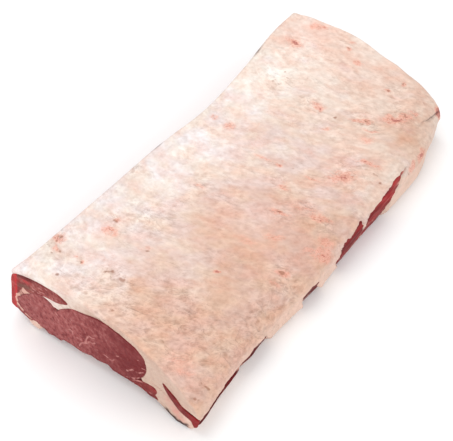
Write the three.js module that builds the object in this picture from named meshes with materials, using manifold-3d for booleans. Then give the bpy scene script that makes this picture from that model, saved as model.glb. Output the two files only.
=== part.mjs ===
// Whole boneless beef striploin, trimmed and laid fat side up, in millimetres.
// +Y runs from the near cut end to the far cut end, +X from the chine side (where the
// backbone was) to the flank side (the tail), +Z is up. The meat rests on Z = 0.
//
// Every layer is drawn once, as an outline on the near cut face, and runs the whole length of
// the loin. settle() then carries that section along the loin, where it narrows and levels out.
import * as THREE from "three";
import { mergeVertices } from "three/addons/utils/BufferGeometryUtils.js";
import Module from "manifold-3d";

const LENGTH = 450;
const STATIONS = 20; // steps along the loin, closer together towards its ends
const LAYER_GAP = 0.35; // kept between touching layers
const PAST_END = 2; // how far a cutting layer runs past both ends

// Height of the fat cap over the board, from chine edge to tail tip, at the two ends.
const TOP_STOPS = [-105, -95, -82, -62, -35, -5, 20, 42, 60, 76, 90, 101, 107, 109];
const TOP_NEAR = [74, 80.5, 85.5, 89.5, 92.5, 93.5, 91, 84.5, 77, 68, 57, 45, 34, 24.5];
const TOP_FAR = [77, 80.5, 83, 84, 85.5, 82, 75.5, 71, 65, 61, 53, 44, 35, 25];

// Plan of the loin: how far each long side moves in (+) or out (-) at shares of the length.
const CHINE_STOPS = [0, 0.05, 0.15, 0.3, 0.45, 0.6, 0.75, 0.92, 1];
const CHINE_IN = [-1, 1.6, 4.4, 8, 11.5, 19, 15.8, 7.6, 8];
const FLANK_STOPS = [0, 0.1, 0.3, 0.42, 0.6, 0.78, 0.86, 0.93, 1];
const FLANK_IN = [-0.8, 3, 4.6, -0.5, -1.8, -3.8, -2.2, 4, 12.5];
const CUT_LEAN = 2; // the near cut runs this far forward at the tail

// The underside arches up off the board at both cut ends and settles flat further in.
const ARCH_STOPS = [-95, -70, -40, -10, 30, 62, 84];
const ARCH_RISE = [0, 4, 8.5, 13, 13, 9.5, 0];
const FAR_ARCH_SHARE = 0.4;
const ARCH_RUN = 95; // how far along the loin the arch fades out

// Outlines on the near cut face, settled flat, as [x, z] points of a closed smooth curve.
const EYE_MUSCLE = [
  [-103, 35], [-96.5, 44.5], [-86, 54.5], [-74, 63], [-65, 64.5], [-58, 60], [-53, 52],
  [-47, 57], [-39, 66], [-30, 72], [-16, 77], [-1, 82.5], [15, 82], [30, 79],
  [42, 74], [50, 66], [52.5, 55], [52, 42], [46.5, 26], [39, 14], [29, 3.5],
  [12, 0], [-20, 0], [-52, 0], [-76, 0], [-89, 4], [-102, 10], [-107, 16], [-105.5, 26],
];
const UPPER_MUSCLE = [
  [-103, 71], [-92, 77.5], [-76, 82], [-60, 84], [-47, 83], [-36, 77.5], [-43, 73],
  [-54, 70], [-65, 65.5], [-75, 60], [-88, 50], [-98, 40], [-104, 26], [-106, 15],
  [-113.5, 16.5], [-112.5, 28], [-109, 48], [-106.5, 63],
];
const LOWER_STRIP = [
  [27, 1], [39, 14], [50, 20], [59, 22], [63, 17.5], [64.5, 6], [62, 0], [48, 0], [36, 0],
];
const FLANK_STRIP = [
  [71, 46], [80, 39.5], [87, 33.5], [95, 27.5], [102, 24.5], [108.5, 23], [109, 16],
  [106, 9], [101, 5.5], [98.5, 10], [93, 12], [85.5, 20], [79, 27], [74, 35],
];
// The fat's lower face: the tail's underside, then hidden inside the lean up to the chine.
const FAT_UNDER = [
  [105, 16], [100, 8], [95, 1], [84, 0], [68, 0], [58, 2], [46, 12],
  [36, 40], [10, 58], [-40, 55], [-70, 56], [-95, 60], [-103, 67],
];
const SIDES = { fat: 56, eye: 42, upper: 28, lower: 14, flank: 20 }; // points round each outline

const COLOURS = { fat: 0xeccfbe, lean: 0x914448, flank: 0x8c3b3c };

// A smooth curve through [stops, values], held level past both of its ends.
function ramp(stops, values) {
  const curve = new THREE.CubicInterpolant(stops, values, 1);
  return (t) => curve.evaluate(t)[0];
}

const topNear = ramp(TOP_STOPS, TOP_NEAR);
const topFar = ramp(TOP_STOPS, TOP_FAR);
const chineIn = ramp(CHINE_STOPS, CHINE_IN);
const flankIn = ramp(FLANK_STOPS, FLANK_IN);
const archRise = ramp(ARCH_STOPS, ARCH_RISE);

// Where a point of the near section lies after it is carried to the station y.
function settle(x, y, z) {
  const share = THREE.MathUtils.clamp(y / LENGTH + 0.5, 0, 1);
  const toFar = THREE.MathUtils.smoothstep(share, 0, 1);
  const height = THREE.MathUtils.lerp(topNear(x), topFar(x), toFar);
  const flankShare = THREE.MathUtils.smoothstep(x, -60, 100);
  const across = x + chineIn(share) * (1 - flankShare) - flankIn(share) * flankShare;
  const run = LENGTH * Math.min(share, 1 - share);
  const endShare = share < 0.5 ? 1 : FAR_ARCH_SHARE;
  const lift = archRise(x) * endShare * (1 - THREE.MathUtils.smoothstep(run, 0, ARCH_RUN));
  const up = Math.max(z, 0) * (height / topNear(x));
  const forward = CUT_LEAN * (1 - share) * THREE.MathUtils.smoothstep(x, 40, 95);
  return [across, y - forward, lift + up * (1 - lift / height)];
}

// Evenly spaced points round the closed smooth curve through an outline.
function smoothOutline(outline, count) {
  const knots = outline.map(([x, z]) => new THREE.Vector3(x, z, 0));
  const curve = new THREE.CatmullRomCurve3(knots, true, "centripetal");
  const points = curve.getSpacedPoints(count).slice(0, count);
  return points.map((p) => new THREE.Vector2(p.x, p.y));
}

// The same outline moved outwards by a margin, along the normal at each point.
function grown(points, margin) {
  const turn = THREE.ShapeUtils.isClockWise(points) ? -1 : 1;
  return points.map((p, i) => {
    const before = points.at(i - 1);
    const after = points[(i + 1) % points.length];
    const along = after.clone().sub(before).normalize();
    return new THREE.Vector2(p.x + turn * along.y * margin, p.y - turn * along.x * margin);
  });
}

// Where a step along an extrusion lies on the loin: the two ends are at -1 and 1.
function stationAt(step) {
  const eased = 0.7 * step + 0.3 * Math.sin((Math.PI / 2) * step);
  return Math.abs(step) > 1 ? Math.sign(step) * (LENGTH / 2 + PAST_END) : (eased * LENGTH) / 2;
}

// A layer: its outline extruded along the loin, then settled at every station. A cutting layer
// has one more station, just past each end.
function layer(points, isCutter = false) {
  const steps = STATIONS + (isCutter ? 2 : 0);
  const geometry = new THREE.ExtrudeGeometry(new THREE.Shape(points), {
    depth: steps,
    steps,
    bevelEnabled: false,
  });
  geometry.rotateX(Math.PI / 2).translate(0, steps / 2, 0);
  const place = geometry.getAttribute("position");
  for (let i = 0; i < place.count; i += 1) {
    const y = stationAt((2 * place.getY(i)) / STATIONS);
    place.setXYZ(i, ...settle(place.getX(i), y, place.getZ(i)));
  }
  geometry.computeVertexNormals();
  return geometry;
}

const wasm = await Module();
wasm.setup();

// A closed geometry as a solid for cutting.
function solidOf(geometry) {
  const bare = geometry.clone();
  bare.deleteAttribute("normal");
  bare.deleteAttribute("uv");
  const merged = mergeVertices(bare, 1e-3);
  const vertProperties = merged.getAttribute("position").array;
  const triVerts = new Uint32Array(merged.index.array);
  return new wasm.Manifold(new wasm.Mesh({ numProp: 3, vertProperties, triVerts }));
}

// The layer with every neighbour cut out of it, a layer gap clear all round.
function cutBy(points, neighbours) {
  const start = solidOf(layer(points));
  const cut = neighbours.reduce(
    (left, other) => left.subtract(solidOf(layer(grown(other, LAYER_GAP), true))),
    start,
  );
  const mesh = cut.getMesh();
  const geometry = new THREE.BufferGeometry();
  geometry.setAttribute("position", new THREE.BufferAttribute(mesh.vertProperties, 3));
  geometry.setIndex(new THREE.BufferAttribute(mesh.triVerts, 1));
  geometry.computeVertexNormals();
  return geometry;
}

function piece(name, geometry, color, roughness) {
  const finish = new THREE.MeshStandardMaterial({ color, roughness, metalness: 0 });
  const mesh = new THREE.Mesh(geometry, finish);
  mesh.name = name;
  return mesh;
}

// The fat's outline: the top of the loin from chine to tail tip, then its lower face back.
function fatOutline() {
  const top = TOP_STOPS.map((x, i) => [x, TOP_NEAR[i]]);
  return smoothOutline([...top, ...FAT_UNDER], SIDES.fat);
}

const eye = smoothOutline(EYE_MUSCLE, SIDES.eye);
const upper = smoothOutline(UPPER_MUSCLE, SIDES.upper);
const lower = smoothOutline(LOWER_STRIP, SIDES.lower);
const flank = smoothOutline(FLANK_STRIP, SIDES.flank);

const striploin = new THREE.Group();
striploin.add(
  piece("fat_cap", cutBy(fatOutline(), [eye, upper, lower, flank]), COLOURS.fat, 0.5),
  piece("eye_muscle", layer(eye), COLOURS.lean, 0.4),
  piece("upper_muscle", cutBy(upper, [eye]), COLOURS.lean, 0.4),
  piece("lower_strip", cutBy(lower, [eye]), COLOURS.flank, 0.4),
  piece("flank_strip", layer(flank), COLOURS.flank, 0.4),
);

// The origin is the middle of the loin's footprint, at the board.
const box = new THREE.Box3().setFromObject(striploin);
const middle = box.getCenter(new THREE.Vector3());
striploin.position.set(-middle.x, -middle.y, -box.min.z);

export default striploin;
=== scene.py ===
import math

import bpy
import numpy as np
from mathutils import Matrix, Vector

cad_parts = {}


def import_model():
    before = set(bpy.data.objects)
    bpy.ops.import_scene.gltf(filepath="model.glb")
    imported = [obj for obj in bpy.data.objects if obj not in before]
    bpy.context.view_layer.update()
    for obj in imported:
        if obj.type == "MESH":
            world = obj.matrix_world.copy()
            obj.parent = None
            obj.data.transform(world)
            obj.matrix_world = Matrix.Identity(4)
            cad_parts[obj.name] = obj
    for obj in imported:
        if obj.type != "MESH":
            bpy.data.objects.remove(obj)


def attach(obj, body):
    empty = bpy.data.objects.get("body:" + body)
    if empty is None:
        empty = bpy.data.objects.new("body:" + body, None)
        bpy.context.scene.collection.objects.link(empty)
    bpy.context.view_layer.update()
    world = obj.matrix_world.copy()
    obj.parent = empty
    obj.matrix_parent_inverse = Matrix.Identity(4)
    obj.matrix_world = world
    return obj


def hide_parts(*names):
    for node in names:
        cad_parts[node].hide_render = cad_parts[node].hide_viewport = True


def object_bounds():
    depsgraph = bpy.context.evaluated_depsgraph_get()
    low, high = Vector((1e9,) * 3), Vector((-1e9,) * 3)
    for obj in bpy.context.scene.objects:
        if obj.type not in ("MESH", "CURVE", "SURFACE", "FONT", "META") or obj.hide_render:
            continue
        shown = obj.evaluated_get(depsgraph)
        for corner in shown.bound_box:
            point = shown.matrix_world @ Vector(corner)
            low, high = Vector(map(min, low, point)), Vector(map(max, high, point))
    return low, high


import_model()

MM = 0.001
CAD_LOW, CAD_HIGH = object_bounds()

LENGTH = 450
NEAR, FAR = -LENGTH / 2, LENGTH / 2

# Height of the fat cap over the board, from chine edge to tail tip, at the two ends.
TOP_STOPS = [-105, -95, -82, -62, -35, -5, 20, 42, 60, 76, 90, 101, 107, 109]
TOP_NEAR = [74, 80.5, 85.5, 89.5, 92.5, 93.5, 91, 84.5, 77, 68, 57, 45, 34, 24.5]
TOP_FAR = [77, 80.5, 83, 84, 85.5, 82, 75.5, 71, 65, 61, 53, 44, 35, 25]

# Plan of the loin: how far each long side moves in (+) or out (-) at shares of the length.
CHINE_STOPS = [0, 0.05, 0.15, 0.3, 0.45, 0.6, 0.75, 0.92, 1]
CHINE_IN = [-1, 1.6, 4.4, 8, 11.5, 19, 15.8, 7.6, 8]
FLANK_STOPS = [0, 0.1, 0.3, 0.42, 0.6, 0.78, 0.86, 0.93, 1]
FLANK_IN = [-0.8, 3, 4.6, -0.5, -1.8, -3.8, -2.2, 4, 12.5]
CUT_LEAN = 2  # the near cut runs this far forward at the tail

# The underside arches up off the board at both cut ends and settles flat further in.
ARCH_STOPS = [-95, -70, -40, -10, 30, 62, 84]
ARCH_RISE = [0, 4, 8.5, 13, 13, 9.5, 0]
FAR_ARCH_SHARE = 0.4
ARCH_RUN = 95  # how far along the loin the arch fades out

# Outlines on the near cut, [x, z], clockwise as seen along +Y. FLANK_STRIP is the plain solid's,
# which only sets the shift to the frame: the piece's own outlines stand by flank_strip().
EYE_MUSCLE = [
    [-103, 35], [-96.5, 44.5], [-86, 54.5], [-74, 63], [-65.3, 63.6], [-60.5, 61.4], [-56.8, 58.6],
    [-54.2, 53.5], [-52, 51], [-50, 55], [-47, 58.9], [-42, 63.8], [-36, 69], [-29, 73], [-16, 77],
    [-1, 82.5], [15, 82], [30, 79], [42, 74], [49, 65.5], [51, 55.5], [50, 42], [45, 26.5],
    [38, 16], [29, 3.5], [12, 0], [-20, 0], [-52, 0], [-76, 0], [-89, 4], [-102, 10], [-107, 16],
    [-105.5, 26],
]
UPPER_MUSCLE = [
    [-103, 71], [-92, 77.5], [-76, 82], [-60, 84], [-47, 83], [-36.2, 76], [-41, 71.6],
    [-46, 68.6], [-51.5, 66.7], [-58, 66.2], [-65, 64.9], [-75, 60], [-88, 50], [-98, 40],
    [-104, 26], [-106, 15], [-113.5, 16.5], [-112.5, 28], [-109, 48], [-106.5, 63],
]
LOWER_STRIP = [
    [27, 1], [36, 13.5], [46, 19], [54, 22], [58.5, 22.5], [60.8, 18], [59.5, 12.5], [57.5, 10.5],
    [60.5, 8.5], [62, 4.5], [60, 0], [48, 0], [36, 0],
]
FLANK_STRIP = [
    [71, 46], [80, 39.5], [87, 33.5], [95, 27.5], [102, 24.5], [108.5, 23], [109, 16], [106, 9],
    [101, 5.5], [98.5, 10], [93, 12], [85.5, 20], [79, 27], [74, 35],
]
FAT_UNDER = [
    [105, 16], [102.5, 5], [97.5, 0.8], [86, 0], [70, 0.8], [58, 2], [46, 12], [36, 40], [10, 58],
    [-40, 55], [-70, 56], [-95, 60], [-103, 67],
]
FAT_CAP = [[x, z] for x, z in zip(TOP_STOPS, TOP_NEAR)] + FAT_UNDER

# Each outline is split at two of its points into the two halves that its cut faces span.
CHINE_CORNER = (-105, 74)
FAT_LOWER_END = (58, 2)
EYE_CHINE_END, EYE_TAIL_END = (-105.5, 26), (39, 14)
UPPER_HEEL, UPPER_TIP = (-106, 15), (-36.2, 76)
LOWER_THIN_END, LOWER_BLUNT_END = (27, 1), (62, 4.5)
FLANK_THIN_END, FLANK_BLUNT_END = (68.8, 46.3), (102.8, 9.4)

# Where lean shows below the fat's lip on the tail side: (y, lowest z, highest z) along the loin,
# from below the board where it reaches down to it.
LEAN_WINDOWS = [
    [(-226, 22, 26), (-213, 22.5, 26.5), (-200, 22.5, 25.5), (-188, 22, 23)],
    [(-152, -3, 14), (-147, -3, 20), (-136, -3, 22), (-125, -3, 22), (-115, -3, 19),
     (-108, -3, 8)],
    [(-57, -3, 19), (-50, -3, 23), (-42, -3, 23), (-34, -3, 18), (-29, -3, 8)],
    [(0, -3, 20), (6, -3, 29), (10, -3, 34), (17, -3, 35), (22, -3, 31), (30, -3, 33),
     (37, -3, 36), (43, -3, 37), (45.4, -3, 32)],
    [(47, -3, 16), (50, -3, 28), (55, -3, 31.5), (62, -3, 34), (76, -3, 35), (86, -3, 36),
     (97, 19, 37), (108, 28, 38), (116, 32, 39), (129, 39, 40)],
]
OUT_OF_REACH = 99.0  # longer than any distance in millimetres that a finish reads


def smoothstep(t, low, high):
    """0 below low, 1 above high, and 3k^2 - 2k^3 between them, k being the share of the way."""
    k = np.clip((t - low) / (high - low), 0, 1)
    return k * k * (3 - 2 * k)


def bell(t, middle, width):
    """exp(-k^2), k being the distance from middle in widths."""
    return np.exp(-(((t - middle) / width) ** 2))


def round_off(run, radius):
    """How far an edge rounded to a quarter circle stands back, at a distance run from it."""
    left = radius - np.minimum(run, radius)
    return radius - np.sqrt(radius**2 - left**2)


def ramp(stops, values):
    """A smooth curve through (stop, value) pairs, held level past its ends: a cubic between two
    stops, each slope taken from the neighbours on both sides."""
    s, v = np.array(stops, float), np.array(values, float)

    def curve(t):
        t = np.clip(t, s[0], s[-1])
        i = np.clip(np.searchsorted(s, t, side="right"), 1, len(s) - 1)
        a, b = i - 1, i
        before = np.where(a == 0, b, a - 1)
        after = np.where(b == len(s) - 1, a, np.minimum(b + 1, len(s) - 1))
        step_before = np.where(a == 0, s[b] - s[a], s[a] - s[before])
        step_after = np.where(b == len(s) - 1, s[b] - s[a], s[after] - s[b])
        half = (s[b] - s[a]) / 2
        p, q = half / step_before, half / step_after
        k = (t - s[a]) / (s[b] - s[a])
        return (
            v[before] * (-p * k**3 + 2 * p * k**2 - p * k)
            + v[a] * ((1 + p) * k**3 - (1.5 + 2 * p) * k**2 + (p - 0.5) * k + 1)
            + v[b] * (-(1 + q) * k**3 + (1.5 + q) * k**2 + 0.5 * k)
            + v[after] * (q * k**3 - q * k**2)
        )

    return curve


top_near, top_far = ramp(TOP_STOPS, TOP_NEAR), ramp(TOP_STOPS, TOP_FAR)
chine_in, flank_in = ramp(CHINE_STOPS, CHINE_IN), ramp(FLANK_STOPS, FLANK_IN)
arch_rise = ramp(ARCH_STOPS, ARCH_RISE)


def length_share(y):
    """0 at the near cut, 1 at the far one."""
    return np.clip(y / LENGTH + 0.5, 0, 1)


def plan_shift(x, share):
    """How far a point at x of the near section moves across, at a share of the loin's length: the
    chine side's plan, blended into the flank side's from x = -60 to 100."""
    flank_share = smoothstep(x, -60, 100)
    return chine_in(share) * (1 - flank_share) - flank_in(share) * flank_share


def tail_lean(x):
    """How far the near cut runs forward at x, towards the tail."""
    return CUT_LEAN * smoothstep(x, 40, 95)


def settle(x, y, z):
    """Where a point (x, z) of the near section lies once it is carried to the station y: the long
    sides move in or out, heights follow the cap from its near to its far profile, and the
    underside arches up off the board towards both cut ends."""
    share = length_share(y)
    to_far = smoothstep(share, 0, 1)
    height = top_near(x) * (1 - to_far) + top_far(x) * to_far
    run = LENGTH * np.minimum(share, 1 - share)
    end_share = np.where(share < 0.5, 1, FAR_ARCH_SHARE)
    lift = arch_rise(x) * end_share * (1 - smoothstep(run, 0, ARCH_RUN))
    up = np.maximum(z, 0) * height / top_near(x)
    forward = (1 - share) * tail_lean(x)
    across = x + plan_shift(x, share)
    return np.stack([across, y - forward, lift + up * (1 - lift / height)], -1)


def near_section(q):
    """The near section's own (x, z) for points on the near cut: settle() undone there."""
    x = q[..., 0] - plan_shift(q[..., 0], 0)
    lift = arch_rise(x)
    return np.stack([x, (q[..., 2] - lift) / (1 - lift / top_near(x))], -1)


def face_share(q, low, high):
    """1 on both cut faces: 0 up to low from the loin's middle, measured along it, 1 from high."""
    return smoothstep(np.abs(q[:, 1] + tail_lean(q[:, 0]) / 2), low, high)


def smooth_outline(points, per_span=40):
    """The closed smooth curve through the points: a cubic on each span whose end slopes weigh the
    neighbouring spans by the square roots of their lengths (a centripetal spline)."""
    here = np.array(points, float)
    before, after, past = (np.roll(here, k, 0) for k in (1, -1, -2))
    d0, d1, d2 = (
        np.sqrt(np.linalg.norm(span, axis=1, keepdims=True))
        for span in (here - before, after - here, past - after)
    )
    slope_0 = d1 * ((here - before) / d0 - (after - before) / (d0 + d1) + (after - here) / d1)
    slope_1 = d1 * ((after - here) / d1 - (past - here) / (d1 + d2) + (past - after) / d2)
    k = np.linspace(0, 1, per_span, endpoint=False)[None, :, None]
    a, b, m, n = (p[:, None] for p in (here, after, slope_0, slope_1))
    curve = (
        a * (2 * k**3 - 3 * k**2 + 1) + m * (k**3 - 2 * k**2 + k)
        + b * (3 * k**2 - 2 * k**3) + n * (k**3 - k**2)
    )
    return curve.reshape(-1, 2)


def nearest_to(place, curve):
    """The number of the curve's point that lies nearest to the place."""
    return np.argmin(np.linalg.norm(curve - np.array(place), axis=1))


def chain(curve, start, end, count):
    """count points, evenly spaced along a closed curve, from its point nearest start onwards to
    the one nearest end."""
    first, last = nearest_to(start, curve), nearest_to(end, curve)
    path = np.roll(curve, -first, 0)[: (last - first) % len(curve) + 1]
    run = np.r_[0, np.cumsum(np.linalg.norm(np.diff(path, axis=0), axis=1))]
    at = np.linspace(0, run[-1], count)
    return np.stack([np.interp(at, run, path[:, i]) for i in (0, 1)], -1)


def halves(outline, start, end, count, back_count=None):
    """The two chains of an outline's smooth curve, from start to end and from end to start."""
    curve = smooth_outline(outline)
    return chain(curve, start, end, count), chain(curve, end, start, back_count or count)


# The settled shapes' own box is centred on the frame's, which gives the shift between the two.
OUTLINES = np.concatenate(
    [smooth_outline(points) for points in (FAT_CAP, EYE_MUSCLE, UPPER_MUSCLE, FLANK_STRIP)]
)
STATIONS = np.linspace(NEAR, FAR, 181)[:, None]
SPAN = settle(OUTLINES[:, 0], STATIONS, OUTLINES[:, 1]).reshape(-1, 3)
SHIFT = (np.array(CAD_LOW) + np.array(CAD_HIGH)) / 2 / MM - (SPAN.min(0) + SPAN.max(0)) / 2
SHIFT[2] = 0


def hashed(i, j, k, seed):
    """A number from 0 to 1 that looks random but depends only on the whole numbers i, j, k."""
    n = (i * 73856093) ^ (j * 19349663) ^ (k * 83492791) ^ (seed * 2654435761)
    n = ((n & 0xFFFFFFFF) ^ ((n & 0xFFFFFFFF) >> 13)) * 1274126177
    n = (n & 0xFFFFFFFF) ^ ((n & 0xFFFFFFFF) >> 16)
    return (n & 0xFFFFFF) / 0xFFFFFF


def noise(points, size, seed, octaves=1):
    """Smooth noise of about -1 to 1, with lumps as large as size (a number, or one for each axis)
    and finer octaves at half the size and weight, each moved on by 17.3 lumps: random values at
    the corners of a lattice, blended by 6k^5 - 15k^4 + 10k^3 along each axis."""
    total, weight, weights = 0.0, 1.0, 0.0
    for octave in range(octaves):
        p = np.asarray(points) / (np.array(size, float) / 2**octave) + 17.3 * octave
        cell = np.floor(p).astype(np.int64)
        k = p - cell
        k = k**3 * (k * (6 * k - 15) + 10)
        value = 0.0
        for corner in range(8):
            o = [(corner >> axis) & 1 for axis in range(3)]
            share = np.prod([k[..., a] if o[a] else 1 - k[..., a] for a in range(3)], axis=0)
            value = value + share * hashed(*(cell[..., a] + o[a] for a in range(3)), seed + octave)
        total = total + weight * (2 * value - 1)
        weights += weight**2
        weight /= 2
    return 1.5 * total / math.sqrt(weights)


def drift(points, size, *seeds):
    """noise() of two octaves for each seed, side by side, to move a pattern by."""
    return np.stack([noise(points, size, seed, 2) for seed in seeds], -1)


def bump(points, centre, size):
    """exp(-d^2), d being the distance from centre in units of size (for each axis)."""
    d = (points - np.array(centre, float)) / np.array(size, float)
    return np.exp(-np.sum(d * d, axis=-1))


class Loft:
    """A layer as a closed loop of section points carried along the loin: points[t, i] is loop
    point i at station t. The loop is chain a followed by chain b, which meet at both ends."""

    def __init__(self, chain_a, chain_b, stations, rounding, section=None, short=0.0, ease=0.35):
        """The stations lie closer together towards both cuts, by the share ease. rounding is the
        radius of the edges there, short how far both cut faces stand back from the ends of the
        loin, and section(loop, y) may change the loop from station to station."""
        self.count_a = len(chain_a)
        self.loop = np.concatenate([chain_a[:-1], chain_b[:-1]])
        near, far = NEAR + short, FAR - short
        step = np.linspace(-1, 1, stations)
        ys = ((1 - ease) * step + ease * np.sin(math.pi / 2 * step)) * LENGTH / 2
        turn = rounding * (1 - np.cos(np.radians([0, 30, 60])))
        inner = ys[(ys > near + rounding) & (ys < far - rounding)]
        ys = np.r_[near + turn, inner, far - turn[::-1]]
        x, z = section(self.loop, ys[:, None]) if section else self.loop.T
        self.x, self.y, self.z = np.broadcast_arrays(x, ys[:, None], z)
        self.run = np.minimum(ys - near, far - ys)[:, None]
        self.points = settle(self.x, self.y, self.z) + SHIFT
        self.push(-round_off(self.run, rounding))

    def normals(self):
        """Outward unit normals: the loop's direction crossed with the loin's."""
        around = np.roll(self.points, -1, 1) - np.roll(self.points, 1, 1)
        along = np.gradient(self.points, axis=0)
        normal = np.cross(around, along)
        return normal / np.maximum(np.linalg.norm(normal, axis=-1, keepdims=True), 1e-9)

    def push(self, amount):
        """Moves the skin outwards by an amount in millimetres."""
        self.points = self.points + self.normals() * np.asarray(amount)[..., None]

    def cap(self, end, rows, pairing=None):
        """The cut face at end 0 or -1: straight rulings from each point of chain a to its partner
        on chain b."""
        ring = self.points[end]
        a = ring[: self.count_a]
        b = np.concatenate([ring[self.count_a - 1 :], ring[:1]])[::-1]
        if pairing is not None:
            partner = np.interp(np.arange(len(a)), *pairing)
            b = np.stack([np.interp(partner, np.arange(len(b)), b[:, i]) for i in range(3)], -1)
        k = np.linspace(0, 1, rows)[:, None, None]
        return a * (1 - k) + b * k

    def mesh(self, rows, pairing=None, face_shape=None):
        """Points and triangles of the closed solid: the skin and both cut faces."""
        m, n = self.points.shape[:2]
        grid = np.arange(m * n).reshape(m, n)
        skin = np.concatenate([grid, grid[:, :1]], 1)
        points, quads = [self.points.reshape(-1, 3)], [grid_quads(skin)]
        for end, turned in ((0, True), (-1, False)):
            face = self.cap(end, rows, pairing)
            if face_shape:
                face = face_shape(face, end)
            start = sum(len(p) for p in points)
            index = start + np.arange(face.shape[0] * face.shape[1]).reshape(face.shape[:2])
            points.append(face.reshape(-1, 3))
            quads.append(grid_quads(index.T if turned else index))
        return weld(np.concatenate(points), np.concatenate(quads))


def grid_quads(index):
    """The quads of a grid of point numbers, facing along columns crossed with rows."""
    a, b, c, d = index[:-1, :-1], index[:-1, 1:], index[1:, 1:], index[1:, :-1]
    return np.stack([a, b, c, d], -1).reshape(-1, 4)


def weld(points, quads):
    """Joins points that coincide to 0.01 mm and drops the triangles that this flattens."""
    _, first, where = np.unique(np.round(points, 2), axis=0, return_index=True, return_inverse=True)
    quads = where.reshape(-1)[quads]
    tris = np.concatenate([quads[:, [0, 1, 2]], quads[:, [0, 2, 3]]])
    a, b, c = tris.T
    return points[first], tris[(a != b) & (b != c) & (c != a)]


def make_piece(name, points, tris, fields, material, slot, stands_for=None):
    """A mesh object of those triangles, in metres and kept inside the frame's box, with a number
    for each point under each field's name. It rides on the one body, and stands for the plain
    solid named."""
    low, high = np.array(CAD_LOW) / MM, np.array(CAD_HIGH) / MM
    points = np.clip(points, low, high) * MM
    mesh = bpy.data.meshes.new(name)
    mesh.vertices.add(len(points))
    mesh.vertices.foreach_set("co", points.astype(np.float32).ravel())
    mesh.loops.add(3 * len(tris))
    mesh.loops.foreach_set("vertex_index", tris.astype(np.int32).ravel())
    mesh.polygons.add(len(tris))
    mesh.polygons.foreach_set("loop_start", np.arange(0, 3 * len(tris), 3, dtype=np.int32))
    mesh.polygons.foreach_set("use_smooth", np.ones(len(tris), bool))
    for label, values in fields.items():
        attribute = mesh.attributes.new(label, "FLOAT", "POINT")
        attribute.data.foreach_set("value", np.asarray(values, np.float32))
    mesh.update(calc_edges=True)
    mesh.validate()
    piece = bpy.data.objects.new(name, mesh)
    bpy.context.scene.collection.objects.link(piece)
    mesh.materials.append(material)
    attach(piece, "root")
    if stands_for:
        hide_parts(stands_for)


def polyline_distance(points, lines):
    """The distance in the section plane from each point to the nearest of several polylines: the
    foot of the perpendicular on a segment is at share (p - a).(b - a) / |b - a|^2, kept in 0..1."""
    nearest = np.full(points.shape[:-1], OUT_OF_REACH)
    for line in lines:
        for a, b in zip(line[:-1], line[1:]):
            a, b = np.array(a, float), np.array(b, float)
            share = np.clip((points - a) @ (b - a) / ((b - a) @ (b - a)), 0, 1)
            gap = np.linalg.norm(points - a - share[..., None] * (b - a), axis=-1)
            nearest = np.minimum(nearest, gap)
    return nearest


def side_share(y):
    """1 along the tail side's middle stretch, 0 near both cuts."""
    return smoothstep(y, -165, -80) * (1 - smoothstep(y, 150, 215))


def window_depth(points):
    """How far inside the nearest lean window a point of the tail side lies, in millimetres."""
    y, z = points[..., 1] - SHIFT[1], points[..., 2]
    y = y + 1.6 * noise(points, 7, 31, 2)
    z = z + 1.1 * noise(points, 5, 33, 2)
    depth = np.full(y.shape, -OUT_OF_REACH)
    for stops in LEAN_WINDOWS:
        at, low, high = np.array(stops, float).T
        inside = np.minimum(z - np.interp(y, at, low), np.interp(y, at, high) - z)
        depth = np.maximum(depth, np.minimum(inside, np.minimum(y - at[0], at[-1] - y)))
    return depth


# ---- Fat cap ----

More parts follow.
